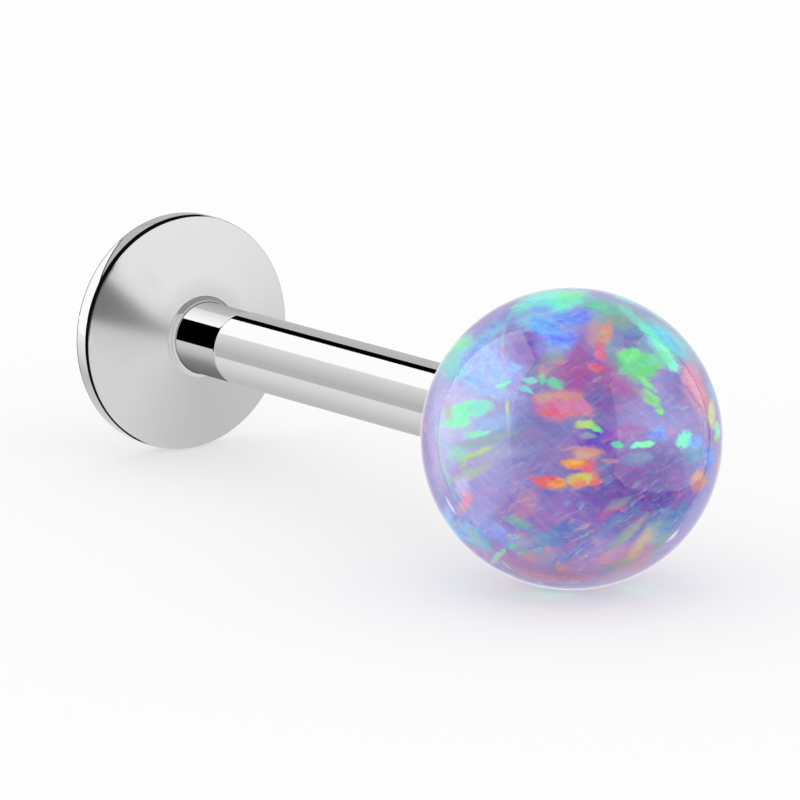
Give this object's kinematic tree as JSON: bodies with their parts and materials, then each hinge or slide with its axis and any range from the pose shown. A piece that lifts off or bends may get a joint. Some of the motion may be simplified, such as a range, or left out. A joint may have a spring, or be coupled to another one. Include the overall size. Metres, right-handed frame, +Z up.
{
  "type": "labret stud",
  "caption": "Labret stud: a domed steel disc with a short neck, a straight polished post, and an opal ball that comes off so that the post can go through a piercing.",
  "frame": {"origin": "centre of the stud's bounding box, on the plane that it rests on", "axes": "+X from the disc towards the ball, level; +Z up; the post leans 2.04 degrees up towards the ball, because the ball is larger than the disc"},
  "size_m": [0.0134, 0.0046, 0.0046],
  "materials": {
    "disc_steel": "satin",
    "post_steel": "polished",
    "opal": "polished"
  },
  "bodies": {
    "shank": {"base_disc": "disc_steel", "post_tube": "post_steel"},
    "ball_top": {"opal_ball": "opal", "ball_pin": "post_steel"}
  },
  "joints": [
    {"name": "ball_pull", "type": "slide", "parent": "shank", "child": "ball_top", "axis": [0.9994, 0, 0.0356], "range_m": [0, 0.012]}
  ]
}
